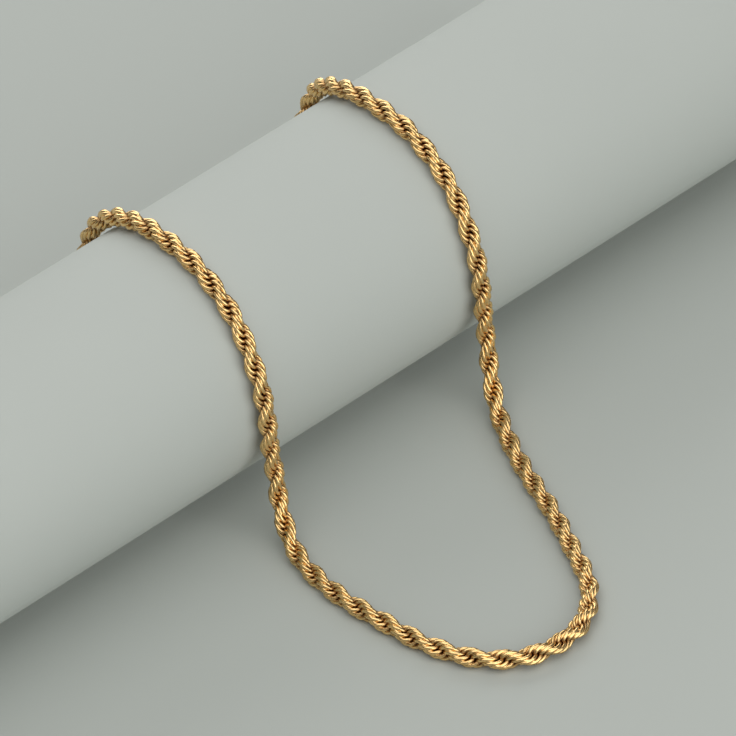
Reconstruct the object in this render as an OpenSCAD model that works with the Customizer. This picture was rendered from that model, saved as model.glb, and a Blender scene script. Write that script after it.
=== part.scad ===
// Rope chain necklace laid over a plain display cylinder.
// Millimetres, +Z up. The cylinder lies along X and touches the floor on the line through the
// origin. The chain is a whole loop: over the cylinder twice, one loop on the floor in front
// and a short run with the clasp on the floor behind.

/* [Chain] */
// Width of the chain over its two twisted strands
chain_w = 5.4; // [3:0.1:8]
// Clear gap between the chain and the cylinder under it
chain_gap = 0.3; // [0.2:0.1:0.8]

/* [Clasp] */
// Length of the clasp from one end face to the other
clasp_l = 14; // [11:1:20]
// Diameter of the clasp's middle barrel
barrel_d = 4.2; // [2.6:0.1:6]
// Length of each cup at the clasp's ends
cup_l = 3; // [1.5:0.5:4]
// Width of the bead round the middle of the barrel
bead_l = 1.2; // [0.8:0.1:2]
// Clear gap between the clasp and each end of the chain
clasp_gap = 0.3; // [0.2:0.1:0.5]

/* [Display cylinder] */
// Diameter of the cylinder
cylinder_d = 70; // [50:1:100]
// Length of the cylinder
cylinder_l = 320; // [220:5:440]
// Bevel round each end of the cylinder
cylinder_bevel = 0.8; // [0.4:0.1:3]

/* [Hidden] */

gold = [0.84, 0.63, 0.28];
paint = [0.74, 0.77, 0.73];

// Sides of the chain's round envelope, and about how far apart its cross sections are
tube_sides = 10;
ring_step = 7.6;

// Radius at which the chain's centre line lies round the cylinder's axis, the height of that
// line where the chain lies on the floor, and how far the chain drops from the one to the other
lie_r = cylinder_d / 2 + chain_gap + chain_w / 2;
lie_z = chain_w / 2;
drop = cylinder_d / 2 - lie_z;

// Places on the chain's route. The turn is in degrees from the top of the cylinder towards the
// front, out is how far a place is beyond the line where the chain hangs, and share is its
// height as a share of the drop.
function over(turn, x) = [x, -lie_r * sin(turn), cylinder_d / 2 + lie_r * cos(turn)];
function front(x, out, share = 0) = [x, -lie_r - out, lie_z + drop * share];
function back(x, out, share = 0) = [x, lie_r + out, lie_z + drop * share];

// Middle of the clasp, and the distance from there to each end of the chain
clasp_x = 4;
clasp_out = 7;
end_off = clasp_l / 2 + clasp_gap;

// The route from the clasp's left end, over the cylinder, round the front loop and back
route = [
    back(clasp_x - end_off, clasp_out), back(-9, 7), back(-19.5, 4.5, 0.03),
    back(-26, 1.5, 0.23), back(-28, 0, 0.52),
    over(-85, -28.5), over(-64, -29), over(-50, -30), over(-34, -31), over(-12, -32.5), over(15, -33),
    over(40, -33.5), over(65, -34.5), over(85, -34.5),
    front(-33.5, 0, 0.75), front(-32.5, 0.7, 0.48), front(-33, 3, 0.21), front(-36, 10, 0.05),
    front(-38.5, 19), front(-39.5, 32), front(-38, 46), front(-35.5, 60), front(-30, 72),
    front(-21, 80), front(-10, 82.5), front(0.5, 80), front(9.5, 72), front(15.5, 60),
    front(21.5, 46), front(26, 33), front(30.5, 22),
    front(36, 11, 0.03), front(40, 4, 0.18), front(41.5, 0.7, 0.48), front(41, 0, 0.75),
    over(85, 40), over(65, 40), over(40, 41), over(15, 41.3), over(-12, 41.5), over(-32, 43),
    over(-48, 45.3), over(-64, 47.8), over(-85, 47),
    back(43, 0, 0.55), back(36, 1.5, 0.26), back(26, 4.5, 0.04), back(17, 7),
    back(clasp_x + end_off, clasp_out)
];

function unit(v) = v / norm(v);

// A point at the fraction t of the smooth curve from b to c, with a before it and d after it
function between(a, b, c, d, t) =
    (2 * b + (c - a) * t + (2 * a - 5 * b + 4 * c - d) * t * t
    + (3 * b - a - 3 * c + d) * t * t * t) / 2;

// The smooth curve through all places of a route, with a point about every step
function smooth(p, step) =
    let (n = len(p), e = concat([2 * p[0] - p[1]], p, [2 * p[n - 1] - p[n - 2]]))
    concat(
        [for (i = [0 : n - 2])
            let (cuts = max(1, round(norm(p[i + 1] - p[i]) / step)))
            for (k = [0 : cuts - 1]) between(e[i], e[i + 1], e[i + 2], e[i + 3], k / cuts)],
        [p[n - 1]]);

// Directions along a curve, and side vectors that turn as little as they can from start to end
function headings(c) =
    let (n = len(c)) [for (i = [0 : n - 1]) unit(c[min(i + 1, n - 1)] - c[max(i - 1, 0)])];
function square_to(v, heading) = unit(v - (v * heading) * heading);
function sides_of(h, first) =
    let (n = len(h))
    [for (i = 0, s = square_to(first, h[0]); i < n;
          i = i + 1, s = square_to(s, h[min(i, n - 1)])) s];

// Solid round tube of radius r along a curve of points
module tube(c, r, count) {
    h = headings(c);
    s = sides_of(h, [0, 0, -1]);
    last = len(c) - 1;
    skin = [for (i = [0 : last], k = [0 : count - 1])
        let (turn = 360 * k / count)
        c[i] + r * (cos(turn) * s[i] + sin(turn) * cross(h[i], s[i]))];
    walls = [for (i = [0 : last - 1], k = [0 : count - 1])
        let (a = i * count, b = a + count, next = (k + 1) % count)
        [a + k, b + k, b + next, a + next]];
    start = [[for (k = [0 : count - 1]) k]];
    end = [[for (k = [count - 1 : -1 : 0]) last * count + k]];
    polyhedron(points = skin, faces = concat(walls, start, end), convexity = 10);
}

// The cylinder, lying along X on the floor, with a small bevel round each end
module display_cylinder() {
    r = cylinder_d / 2;
    b = cylinder_bevel;
    color(paint)
        translate([-cylinder_l / 2, 0, r])
            rotate([0, 90, 0])
                rotate_extrude($fn = 120)
                    polygon([
                        [0, 0], [r - b, 0], [r, b],
                        [r, cylinder_l - b], [r - b, cylinder_l], [0, cylinder_l]
                    ]);
}

// The round envelope of the twisted chain
module rope_chain() {
    color(gold) tube(smooth(route, ring_step), chain_w / 2, tube_sides);
}

// The barrel clasp, lying on the floor between the two ends of the chain
module clasp() {
    cup_r = chain_w / 2;
    barrel_r = min(barrel_d, chain_w) / 2;
    bead_r = (cup_r + barrel_r) / 2;
    bead_at = (clasp_l - bead_l) / 2;
    color(gold)
        translate([clasp_x - clasp_l / 2, lie_r + clasp_out, lie_z])
            rotate([0, 90, 0])
                rotate_extrude($fn = 48)
                    polygon([
                        [0, 0], [cup_r, 0], [cup_r, cup_l],
                        [barrel_r, cup_l], [barrel_r, bead_at],
                        [bead_r, bead_at], [bead_r, bead_at + bead_l],
                        [barrel_r, bead_at + bead_l], [barrel_r, clasp_l - cup_l],
                        [cup_r, clasp_l - cup_l], [cup_r, clasp_l], [0, clasp_l]
                    ]);
}

display_cylinder();
rope_chain();
clasp();
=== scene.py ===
"""Rope chain necklace laid over a plain display cylinder.

A Blender add-on's layout, run as a script. Metres, +Z up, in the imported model's own frame.
Every ring of the chain is a mesh, set along the same route as the solid that it stands for.
"""
import math

import bpy
from mathutils import Matrix, Vector


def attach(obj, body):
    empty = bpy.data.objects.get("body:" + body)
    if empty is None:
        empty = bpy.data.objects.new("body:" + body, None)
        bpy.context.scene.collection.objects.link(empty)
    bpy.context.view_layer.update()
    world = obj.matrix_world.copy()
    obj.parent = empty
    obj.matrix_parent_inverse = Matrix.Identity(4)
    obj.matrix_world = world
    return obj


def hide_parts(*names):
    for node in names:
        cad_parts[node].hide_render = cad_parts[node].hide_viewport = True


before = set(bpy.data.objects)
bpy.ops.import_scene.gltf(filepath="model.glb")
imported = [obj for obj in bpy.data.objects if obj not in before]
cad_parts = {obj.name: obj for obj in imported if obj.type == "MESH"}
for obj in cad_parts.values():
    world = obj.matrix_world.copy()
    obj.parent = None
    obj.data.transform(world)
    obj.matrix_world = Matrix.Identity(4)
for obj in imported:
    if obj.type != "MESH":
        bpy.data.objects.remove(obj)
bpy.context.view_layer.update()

bl_info = {
    "name": "Rope Chain on a Display Cylinder",
    "version": (1, 0, 0),
    "blender": (4, 5, 0),
    "location": "3D View > Sidebar > Rope Chain",
    "description": "Makes a twisted rope chain of linked rings, its clasp and its display cylinder",
    "category": "Object",
}

MM = 0.001
BODY = "root"
CYLINDER = "display_cylinder"
CHAIN = "rope_chain"
CLASP = "clasp"
# Attribute of the rings' points that says how far they are under the chain's outside; it sets where
# the metal gets painted shade between the strands
DEPTH = "depth"

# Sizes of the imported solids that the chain's route is worked out from
CYLINDER_RADIUS = 35.0
CHAIN_WIDTH = 5.4
CHAIN_GAP = 0.3
CLASP_LENGTH = 14.0
CLASP_GAP = 0.3
LIE_RADIUS = CYLINDER_RADIUS + CHAIN_GAP + CHAIN_WIDTH / 2
LIE_HEIGHT = CHAIN_WIDTH / 2
DROP = CYLINDER_RADIUS - LIE_HEIGHT


def over(turn, x):
    """A place round the cylinder, turned in degrees from its top towards the front."""
    turn = math.radians(turn)
    return Vector((x, -LIE_RADIUS * math.sin(turn), CYLINDER_RADIUS + LIE_RADIUS * math.cos(turn)))


def front(x, out, share=0.0):
    """A place in front of the cylinder, at a share of the drop above the floor."""
    return Vector((x, -LIE_RADIUS - out, LIE_HEIGHT + DROP * share))


def back(x, out, share=0.0):
    """A place behind the cylinder, at a share of the drop above the floor."""
    return Vector((x, LIE_RADIUS + out, LIE_HEIGHT + DROP * share))


CLASP_X = 4.0
CLASP_OUT = 7.0
END_OFF = CLASP_LENGTH / 2 + CLASP_GAP

# The route's chosen places, the same as in the part's source, in millimetres
ROUTE = [
    back(CLASP_X - END_OFF, CLASP_OUT), back(-9, 7), back(-19.5, 4.5, 0.03),
    back(-26, 1.5, 0.23), back(-28, 0, 0.52),
    over(-85, -28.5), over(-64, -29), over(-50, -30), over(-34, -31), over(-12, -32.5), over(15, -33),
    over(40, -33.5), over(65, -34.5), over(85, -34.5),
    front(-33.5, 0, 0.75), front(-32.5, 0.7, 0.48), front(-33, 3, 0.21), front(-36, 10, 0.05),
    front(-38.5, 19), front(-39.5, 32), front(-38, 46), front(-35.5, 60), front(-30, 72),
    front(-21, 80), front(-10, 82.5), front(0.5, 80), front(9.5, 72), front(15.5, 60),
    front(21.5, 46), front(26, 33), front(30.5, 22),
    front(36, 11, 0.03), front(40, 4, 0.18), front(41.5, 0.7, 0.48), front(41, 0, 0.75),
    over(85, 40), over(65, 40), over(40, 41), over(15, 41.3), over(-12, 41.5), over(-32, 43),
    over(-48, 45.3), over(-64, 47.8), over(-85, 47),
    back(43, 0, 0.55), back(36, 1.5, 0.26), back(26, 4.5, 0.04), back(17, 7),
    back(CLASP_X + END_OFF, CLASP_OUT)
]


def between(a, b, c, d, t):
    """A point at the fraction t of the smooth curve from b to c."""
    return (2 * b + (c - a) * t + (2 * a - 5 * b + 4 * c - d) * t * t
            + (3 * b - a - 3 * c + d) * t * t * t) / 2


def smooth_route(places, cuts=24):
    """The smooth curve through all places, as closely spaced points."""
    ends = [2 * places[0] - places[1], *places, 2 * places[-1] - places[-2]]
    points = [between(*ends[i:i + 4], k / cuts)
              for i in range(len(places) - 1) for k in range(cuts)]
    return points + [places[-1]]


def cut_ends(points, length):
    """The polyline without the given length at each of its two ends."""
    for _ in range(2):
        points, left = points[::-1], length
        while (points[1] - points[0]).length < left:
            left -= (points[1] - points[0]).length
            points.pop(0)
        points[0] = points[0].lerp(points[1], left / (points[1] - points[0]).length)
    return points


def length_of(points):
    return sum((b - a).length for a, b in zip(points, points[1:]))


# Settings that a user would change

class ChainSettings(bpy.types.PropertyGroup):
    width: bpy.props.FloatProperty(
        name="Width", description="Width of the chain over its two twisted strands",
        default=CHAIN_WIDTH * MM, subtype="DISTANCE", unit="LENGTH")
    ring_radius: bpy.props.FloatProperty(
        name="Ring Radius", description="Half the width of a ring at the middle of its wire",
        default=2.0 * MM, subtype="DISTANCE", unit="LENGTH")
    stretch: bpy.props.FloatProperty(
        name="Stretch", description="Length of a ring along the chain divided by its width",
        default=1.3, min=1.0)
    wire: bpy.props.FloatProperty(
        name="Wire", description="Diameter of the ring's wire",
        default=1.03 * MM, subtype="DISTANCE", unit="LENGTH")
    spacing: bpy.props.FloatProperty(
        name="Spacing", description="Distance along the chain from one ring to the next",
        default=0.65 * MM, subtype="DISTANCE", unit="LENGTH")
    turn: bpy.props.FloatProperty(
        name="Turn", description="Turn round the chain from one ring to the next",
        default=math.radians(194.2), subtype="ANGLE", unit="ROTATION")
    lean: bpy.props.FloatProperty(
        name="Lean", description="Slope of a ring's outermost wire against the chain's cross section",
        default=math.radians(101.0), subtype="ANGLE", unit="ROTATION")
    swing: bpy.props.FloatProperty(
        name="Swing", description="Turn of a ring about its own long direction",
        default=math.radians(-28.0), subtype="ANGLE", unit="ROTATION")
    offset: bpy.props.FloatProperty(
        name="Offset", description="Distance of a ring's middle from the chain's middle",
        default=0.165 * MM, subtype="DISTANCE", unit="LENGTH")
    jitter: bpy.props.FloatProperty(
        name="Unevenness", description="Largest chance turn of a ring out of its exact place",
        default=math.radians(1.2), subtype="ANGLE", unit="ROTATION")
    gold: bpy.props.FloatVectorProperty(
        name="Gold", description="Colour of the polished metal",
        default=(0.89, 0.60, 0.26), size=3, subtype="COLOR")
    # Painted shade: the dark red-brown that the metal turns to deep between the strands, standing in
    # for the shade that falls there
    painted_recess_shade: bpy.props.FloatVectorProperty(
        name="Recess", description="Colour of the metal deep between the strands",
        default=(0.14, 0.03, 0.002), size=3, subtype="COLOR")


class CylinderSettings(bpy.types.PropertyGroup):
    paint: bpy.props.FloatVectorProperty(
        name="Paint", description="Colour of the cylinder's matte paint",
        default=(0.455, 0.482, 0.449), size=3, subtype="COLOR")
    grain: bpy.props.FloatProperty(
        name="Grain", description="Size of the paint's fine grain",
        default=0.35 * MM, subtype="DISTANCE", unit="LENGTH")


class StageSettings(bpy.types.PropertyGroup):
    floor: bpy.props.FloatVectorProperty(
        name="Floor", description="Colour of the plain floor",
        default=(0.431, 0.458, 0.425), size=3, subtype="COLOR")
    light: bpy.props.FloatProperty(
        name="Light", description="Factor on the power of all the soft lights",
        default=1.02, min=0.0)
    surroundings: bpy.props.FloatProperty(
        name="Surroundings", description="Brightness of the even light from all round",
        default=0.15, min=0.0)


# Nodes

class Socket:
    """A node's output that takes part in Python arithmetic by adding Math nodes to its tree."""

    def __init__(self, tree, socket):
        self.tree, self.socket = tree, socket

    def _math(self, operation, *values):
        return self.tree.add("ShaderNodeMath", values, operation=operation)

    def __add__(self, other):
        return self._math("ADD", self, other)

    def __radd__(self, other):
        return self._math("ADD", other, self)

    def __sub__(self, other):
        return self._math("SUBTRACT", self, other)

    def __rsub__(self, other):
        return self._math("SUBTRACT", other, self)

    def __mul__(self, other):
        return self._math("MULTIPLY", self, other)

    def __rmul__(self, other):
        return self._math("MULTIPLY", other, self)

    def __truediv__(self, other):
        return self._math("DIVIDE", self, other)

    def root(self):
        return self._math("SQRT", self)


class Tree:
    """Adds nodes to a shader tree or a geometry tree, one call for each node."""

    def __init__(self, tree):
        self.nodes, self.links = tree.nodes, tree.links
        self.nodes.clear()

    def put(self, socket, value):
        """Links an input to a value that varies, or sets it to a constant."""
        if isinstance(value, Socket):
            self.links.new(value.socket, socket)
        else:
            socket.default_value = value

    def node(self, kind, values=(), **settings):
        """A new node. The values go to its inputs, in their order or by their names."""
        node = self.nodes.new(kind)
        for name, setting in settings.items():
            setattr(node, name, setting)
        for key, value in values.items() if isinstance(values, dict) else enumerate(values):
            self.put(node.inputs[key], value)
        return node

    def add(self, kind, values=(), out=0, **settings):
        """One output of a new node, the first unless another is named."""
        return Socket(self, self.node(kind, values, **settings).outputs[out])

    def mix(self, share, a, b):
        """A colour between a and b."""
        node = self.node("ShaderNodeMix", data_type="RGBA")
        inputs = {socket.identifier: socket for socket in node.inputs}
        for identifier, value in (("Factor_Float", share), ("A_Color", a), ("B_Color", b)):
            self.put(inputs[identifier], value)
        return Socket(self, next(s for s in node.outputs if s.identifier == "Result_Color"))

    def object_place(self):
        """Where a point of the surface is, in its object's own coordinates."""
        return self.add("ShaderNodeTexCoord", out="Object")

    def noise(self, place, scale, detail, **more):
        return self.add("ShaderNodeTexNoise",
                        {"Vector": place, "Scale": scale, "Detail": detail, **more})

    def share(self, value, low, high, to_low=0.0, to_high=1.0):
        """The value's share of the way from low to high, kept in that range."""
        return self.add("ShaderNodeMapRange", [value, low, high, to_low, to_high], clamp=True)

    def bump(self, height, strength, distance):
        return self.add("ShaderNodeBump",
                        {"Strength": strength, "Distance": distance, "Height": height})

    def surface(self, **sockets):
        """A plain surface shader with the given sockets, joined to the output."""
        shader = self.add("ShaderNodeBsdfPrincipled",
                          {name.replace("_", " "): value for name, value in sockets.items()})
        self.node("ShaderNodeOutputMaterial", {"Surface": shader})


def rgba(colour, factor=1.0):
    return (*[channel * factor for channel in colour], 1.0)


def new_material(name):
    material = bpy.data.materials.new(name)
    material.use_nodes = True
    return material, Tree(material.node_tree)


def polished_gold(name, gold, painted_recess_shade, has_depth):
    """Polished yellow metal, duller in the deep places and darkened there towards red-brown as
    painted shade, with fine wear marks.
    """
    material, tree = new_material(name)
    place = tree.object_place()
    cloud = tree.noise(place, scale=140.0, detail=3.0)
    wear = tree.noise(place, scale=2600.0, detail=2.0)
    tone = tree.mix(tree.share(cloud, 0.35, 0.65), rgba(gold, 0.93), rgba(gold, 1.06))
    roughness = 0.14 + 0.08 * cloud + 0.04 * wear
    if has_depth:
        depth = tree.add("ShaderNodeAttribute", out="Fac", attribute_name=DEPTH)
        # Painted shade: the deeper a point lies between the strands, the more its colour turns to the
        # dark recess colour; the same share also makes it rougher
        deep = tree.share(depth, 0.28, 0.68)
        tone = tree.mix(deep, tone, rgba(painted_recess_shade))
        roughness = roughness + 0.22 * deep
    tree.surface(Base_Color=tone, Metallic=1.0, Roughness=roughness,
                 Normal=tree.bump(wear, strength=0.05, distance=0.02 * MM))
    return material


def matte_paint(name, colour, grain):
    """Matte paint with a faint mottle and the fine grain of a rolled coat."""
    material, tree = new_material(name)
    place = tree.object_place()
    mottle = tree.noise(place, scale=14.0, detail=4.0)
    pores = tree.noise(place, scale=1.0 / grain, detail=3.0, Roughness=0.6)
    tone = tree.mix(tree.share(mottle, 0.3, 0.7), rgba(colour, 0.985), rgba(colour, 1.015))
    holes = tree.share(pores, 0.25, 0.45, to_low=1.0, to_high=0.0)
    tone = tree.mix(holes * 0.25, tone, rgba(colour, 0.93))
    tree.surface(Base_Color=tone, Roughness=0.62 + 0.14 * pores, Specular_IOR_Level=0.03,
                 Normal=tree.bump(pores, strength=0.25, distance=0.05 * MM))
    return material


def floor_paint(name, colour):
    """The floor's plain matte paint, with a very faint cloud."""
    material, tree = new_material(name)
    cloud = tree.noise(tree.object_place(), scale=6.0, detail=2.0)
    tree.surface(Base_Color=tree.mix(cloud, rgba(colour, 0.99), rgba(colour, 1.01)),
                 Roughness=0.75, Specular_IOR_Level=0.3)
    return material


# Geometry Nodes tree of the chain

# The tree's inputs, by the kind of their sockets
CHAIN_INPUTS = {
    "NodeSocketGeometry": ("Route",),
    "NodeSocketInt": ("Count", "Ring Sides", "Wire Sides", "Seed"),
    "NodeSocketFloat": ("Half Width", "Ring Radius", "Stretch", "Wire Radius", "Offset", "Turn",
                        "Lean", "Swing", "Unevenness"),
}


def chain_tree(material):
    """Rings along a route: each one turned and moved on from the one before."""
    group = bpy.data.node_groups.new("rings_along_route", "GeometryNodeTree")
    for kind, names in CHAIN_INPUTS.items():
        for name in names:
            group.interface.new_socket(name, in_out="INPUT", socket_type=kind)
    group.interface.new_socket("Chain", in_out="OUTPUT", socket_type="NodeSocketGeometry")
    tree = Tree(group)
    given = {socket.name: Socket(tree, socket)
             for socket in tree.node("NodeGroupInput").outputs if socket.name}

    def vector(x=0.0, y=0.0, z=0.0):
        return tree.add("ShaderNodeCombineXYZ", [x, y, z])

    def turned(**about):
        return tree.add("FunctionNodeEulerToRotation", [vector(**about)])

    def moved(geometry, **how):
        return tree.add("GeometryNodeTransform", {"Geometry": geometry, **how})

    def circle(sides, radius):
        return tree.add("GeometryNodeCurvePrimitiveCircle",
                        {"Resolution": given[sides], "Radius": given[radius]}, mode="RADIUS")

    # One ring, with each point's depth under the chain's outside kept on it
    oval = moved(circle("Ring Sides", "Ring Radius"), Scale=vector(1.0, given["Stretch"], 1.0))
    ring = tree.add("GeometryNodeCurveToMesh",
                    {"Curve": oval, "Profile Curve": circle("Wire Sides", "Wire Radius")})
    ring = moved(ring, Rotation=turned(y=0.0 - given["Swing"]))
    ring = moved(ring, Rotation=turned(x=given["Lean"]), Translation=vector(given["Offset"]))
    place = tree.node("ShaderNodeSeparateXYZ", [tree.add("GeometryNodeInputPosition")])
    x, y = (Socket(tree, place.outputs[name]) for name in "XY")
    depth = 1.0 - (x * x + y * y).root() / given["Half Width"]
    ring = tree.add("GeometryNodeStoreNamedAttribute",
                    {"Geometry": ring, "Name": DEPTH, "Value": depth},
                    data_type="FLOAT", domain="POINT")
    ring = tree.add("GeometryNodeSetShadeSmooth", {"Geometry": ring})

    # The places along the route, and the turn of the ring at each
    curve = tree.add("GeometryNodeMeshToCurve", {"Mesh": given["Route"]})
    curve = tree.add("GeometryNodeSetCurveNormal", {"Curve": curve}, mode="MINIMUM_TWIST")
    spots = tree.node("GeometryNodeCurveToPoints", {"Curve": curve, "Count": given["Count"]},
                      mode="COUNT")
    points, tangent, normal = (Socket(tree, spots.outputs[name])
                               for name in ("Points", "Tangent", "Normal"))
    heading = tree.add("FunctionNodeAxesToRotation", [tangent, normal],
                       primary_axis="Z", secondary_axis="X")
    own_turn = turned(z=tree.add("GeometryNodeInputIndex") * given["Turn"])
    chance = tree.add("FunctionNodeRandomValue",
                      {"Min": [-1.0] * 3, "Max": [1.0] * 3, "Seed": given["Seed"]},
                      data_type="FLOAT_VECTOR")
    wobble = tree.add("ShaderNodeVectorMath", {"Vector": chance, "Scale": given["Unevenness"]},
                      operation="SCALE")
    for rotation in (own_turn, tree.add("FunctionNodeEulerToRotation", [wobble])):
        heading = tree.add("FunctionNodeRotateRotation", [heading, rotation],
                           rotation_space="LOCAL")
    rings = tree.add("GeometryNodeInstanceOnPoints",
                     {"Points": points, "Instance": ring, "Rotation": heading})
    rings = tree.add("GeometryNodeRealizeInstances", {"Geometry": rings})
    rings = tree.add("GeometryNodeSetMaterial", {"Geometry": rings, "Material": material})
    tree.node("NodeGroupOutput", [rings])
    return group


def plain_mesh(obj):
    """Turns what an object's modifiers make into its own plain mesh, and removes them."""
    graph = bpy.context.evaluated_depsgraph_get()
    mesh = bpy.data.meshes.new_from_object(obj.evaluated_get(graph),
                                           preserve_all_data_layers=True, depsgraph=graph)
    mesh.name = obj.name
    obj.modifiers.clear()
    obj.data = mesh


def new_object(name, data):
    obj = bpy.data.objects.new(name, data)
    bpy.context.scene.collection.objects.link(obj)
    return obj


def set_material(node, material):
    """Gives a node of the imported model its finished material."""
    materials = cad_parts[node].data.materials
    materials.clear()
    materials.append(material)


def facing(around, height, distance, aim=Vector()):
    """Where a camera or light is that faces a point, from a turn about it and a height in degrees."""
    around, height = math.radians(around), math.radians(height)
    flat = math.cos(height)
    away = Vector((flat * math.cos(around), flat * math.sin(around), math.sin(height)))
    turn = away.to_track_quat("Z", "Y").to_matrix().to_4x4()
    return Matrix.Translation(aim + away * distance) @ turn


# Operators

class ROPE_OT_camera(bpy.types.Operator):
    """Add the camera at the photograph's place and viewing angle"""
    bl_idname = "rope_chain.camera"
    bl_label = "Add Camera"

    AIM = Vector((0.0, -38.261 * MM, 35.0 * MM))
    AROUND, HEIGHT = 226.940, 42.392
    DISTANCE = 2809.7 * MM
    LENS, SENSOR_WIDTH = 540.0, 36.0
    CLIP_START, CLIP_END = 0.05, 50.0

    def execute(self, context):
        data = bpy.data.cameras.new("camera")
        data.lens, data.sensor_width = self.LENS, self.SENSOR_WIDTH
        data.clip_start, data.clip_end = self.CLIP_START, self.CLIP_END
        camera = new_object("camera", data)
        camera.matrix_world = facing(self.AROUND, self.HEIGHT, self.DISTANCE, self.AIM)
        context.scene.camera = camera
        return {"FINISHED"}


class ROPE_OT_stage(bpy.types.Operator):
    """Add the plain floor and the soft light of a small studio"""
    bl_idname = "rope_chain.stage"
    bl_label = "Add Floor and Light"

    HALF_FLOOR = 3.0
    FLOOR_DEPTH = 0.1 * MM
    BOX_SIZE, BOX_DISTANCE = 2.0, 1.8
    # Each soft box: its turn from +X and its height, in degrees about the origin, and its watts
    SOFT_BOXES = {
        "overhead_light": (180, 80, 14.6),
        "front_light": (270, 20, 24.3),
        "side_light": (210, 60, 6.5),
        "rear_light": (60, 20, 30.1),
    }

    def execute(self, context):
        settings = context.scene.rope_stage
        self.add_floor(settings.floor)
        self.add_even_light(context.scene, settings.surroundings)
        for name, (around, height, power) in self.SOFT_BOXES.items():
            data = bpy.data.lights.new(name, "AREA")
            data.shape = "SQUARE"
            data.size = self.BOX_SIZE
            data.energy = power * settings.light
            new_object(name, data).matrix_world = facing(around, height, self.BOX_DISTANCE)
        context.scene.view_settings.view_transform = "Standard"
        return {"FINISHED"}

    def add_floor(self, colour):
        half, level = self.HALF_FLOOR, -self.FLOOR_DEPTH
        corners = [(-half, -half, level), (half, -half, level),
                   (half, half, level), (-half, half, level)]
        mesh = bpy.data.meshes.new("floor")
        mesh.from_pydata(corners, [], [(0, 1, 2, 3)])
        mesh.materials.append(floor_paint("floor_matte", colour))
        floor = new_object("floor", mesh)

    def add_even_light(self, scene, brightness):
        """The same white light from all round."""
        scene.world = bpy.data.worlds.new("studio")
        scene.world.use_nodes = True
        tree = Tree(scene.world.node_tree)
        light = tree.add("ShaderNodeBackground",
                         {"Color": rgba((1.0, 1.0, 1.0)), "Strength": brightness})
        tree.node("ShaderNodeOutputWorld", {"Surface": light})


class ROPE_OT_chain(bpy.types.Operator):
    """Make the rope chain from linked rings along its route"""
    bl_idname = "rope_chain.chain"
    bl_label = "Make Rope Chain"

    RING_SIDES = 16
    WIRE_SIDES = 6
    SEED = 7
    # How far the last ring at each end reaches into the clasp's cup
    INTO_CUP = 1.4 * MM

    def execute(self, context):
        chain = context.scene.rope_chain
        reach = chain.ring_radius * chain.stretch + chain.wire / 2
        line = cut_ends([place * MM for place in smooth_route(ROUTE)],
                        reach - CLASP_GAP * MM - self.INTO_CUP)
        mesh = bpy.data.meshes.new("route")
        mesh.from_pydata([tuple(p) for p in line], [(i, i + 1) for i in range(len(line) - 1)], [])
        rings = new_object("rope_rings", mesh)
        modifier = rings.modifiers.new("rings", "NODES")
        modifier.node_group = chain_tree(
            polished_gold("rope_gold", chain.gold, chain.painted_recess_shade, has_depth=True))
        values = {
            "Count": round(length_of(line) / chain.spacing) + 1, "Seed": self.SEED,
            "Ring Sides": self.RING_SIDES, "Wire Sides": self.WIRE_SIDES,
            "Half Width": chain.width / 2, "Ring Radius": chain.ring_radius,
            "Stretch": chain.stretch, "Wire Radius": chain.wire / 2, "Offset": chain.offset,
            "Turn": chain.turn, "Lean": chain.lean, "Swing": chain.swing,
            "Unevenness": chain.jitter,
        }
        for item in modifier.node_group.interface.items_tree:
            if item.in_out == "INPUT" and item.name in values:
                modifier[item.identifier] = values[item.name]
        plain_mesh(rings)
        if not rings.data.polygons:
            raise RuntimeError("the chain's rings came out empty")
        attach(rings, BODY)
        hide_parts(CHAIN)
        return {"FINISHED"}


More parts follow.
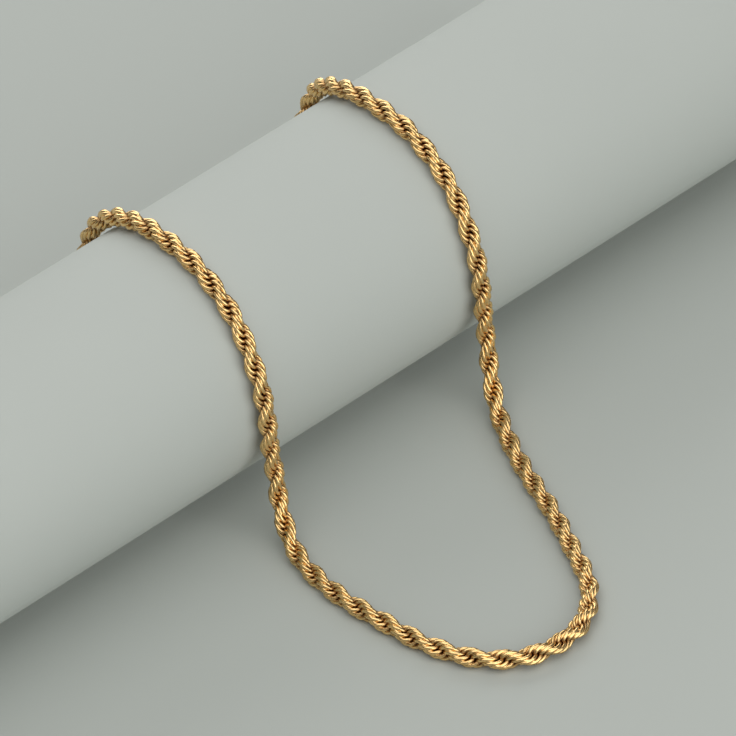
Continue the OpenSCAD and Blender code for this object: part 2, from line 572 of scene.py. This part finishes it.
class ROPE_OT_clasp(bpy.types.Operator):
    """Give the barrel clasp its polished finish"""
    bl_idname = "rope_chain.clasp"
    bl_label = "Finish Clasp"

    def execute(self, context):
        chain = context.scene.rope_chain
        set_material(CLASP, polished_gold("clasp_gold_polished", chain.gold, chain.painted_recess_shade,
                                          has_depth=False))
        return {"FINISHED"}


class ROPE_OT_cylinder(bpy.types.Operator):
    """Give the display cylinder its matte paint"""
    bl_idname = "rope_chain.cylinder"
    bl_label = "Finish Display Cylinder"

    def execute(self, context):
        settings = context.scene.rope_cylinder
        set_material(CYLINDER, matte_paint("cylinder_paint", settings.paint, settings.grain))
        return {"FINISHED"}


class ROPE_PT_panel(bpy.types.Panel):
    """Sizes, colours and buttons of the rope chain"""
    bl_idname = "ROPE_PT_panel"
    bl_label = "Rope Chain"
    bl_space_type = "VIEW_3D"
    bl_region_type = "UI"
    bl_category = "Rope Chain"

    def draw(self, context):
        scene = context.scene
        for title, settings, operators in (
                ("Chain", scene.rope_chain, (ROPE_OT_chain, ROPE_OT_clasp)),
                ("Cylinder", scene.rope_cylinder, (ROPE_OT_cylinder,)),
                ("Stage", scene.rope_stage, (ROPE_OT_camera, ROPE_OT_stage))):
            box = self.layout.box()
            box.label(text=title)
            for name in settings.bl_rna.properties.keys():
                if name not in {"name", "rna_type"}:
                    box.prop(settings, name)
            for operator in operators:
                box.operator(operator.bl_idname)


CLASSES = (ChainSettings, CylinderSettings, StageSettings, ROPE_OT_camera, ROPE_OT_stage,
           ROPE_OT_cylinder, ROPE_OT_chain, ROPE_OT_clasp, ROPE_PT_panel)


def register():
    for cls in CLASSES:
        bpy.utils.register_class(cls)
    bpy.types.Scene.rope_chain = bpy.props.PointerProperty(type=ChainSettings)
    bpy.types.Scene.rope_cylinder = bpy.props.PointerProperty(type=CylinderSettings)
    bpy.types.Scene.rope_stage = bpy.props.PointerProperty(type=StageSettings)


def unregister():
    for name in ("rope_chain", "rope_cylinder", "rope_stage"):
        delattr(bpy.types.Scene, name)
    for cls in reversed(CLASSES):
        bpy.utils.unregister_class(cls)


def main():
    register()
    bpy.ops.rope_chain.camera()
    bpy.ops.rope_chain.stage()
    bpy.ops.rope_chain.cylinder()
    bpy.ops.rope_chain.chain()
    bpy.ops.rope_chain.clasp()


if __name__ == "__main__":
    main()
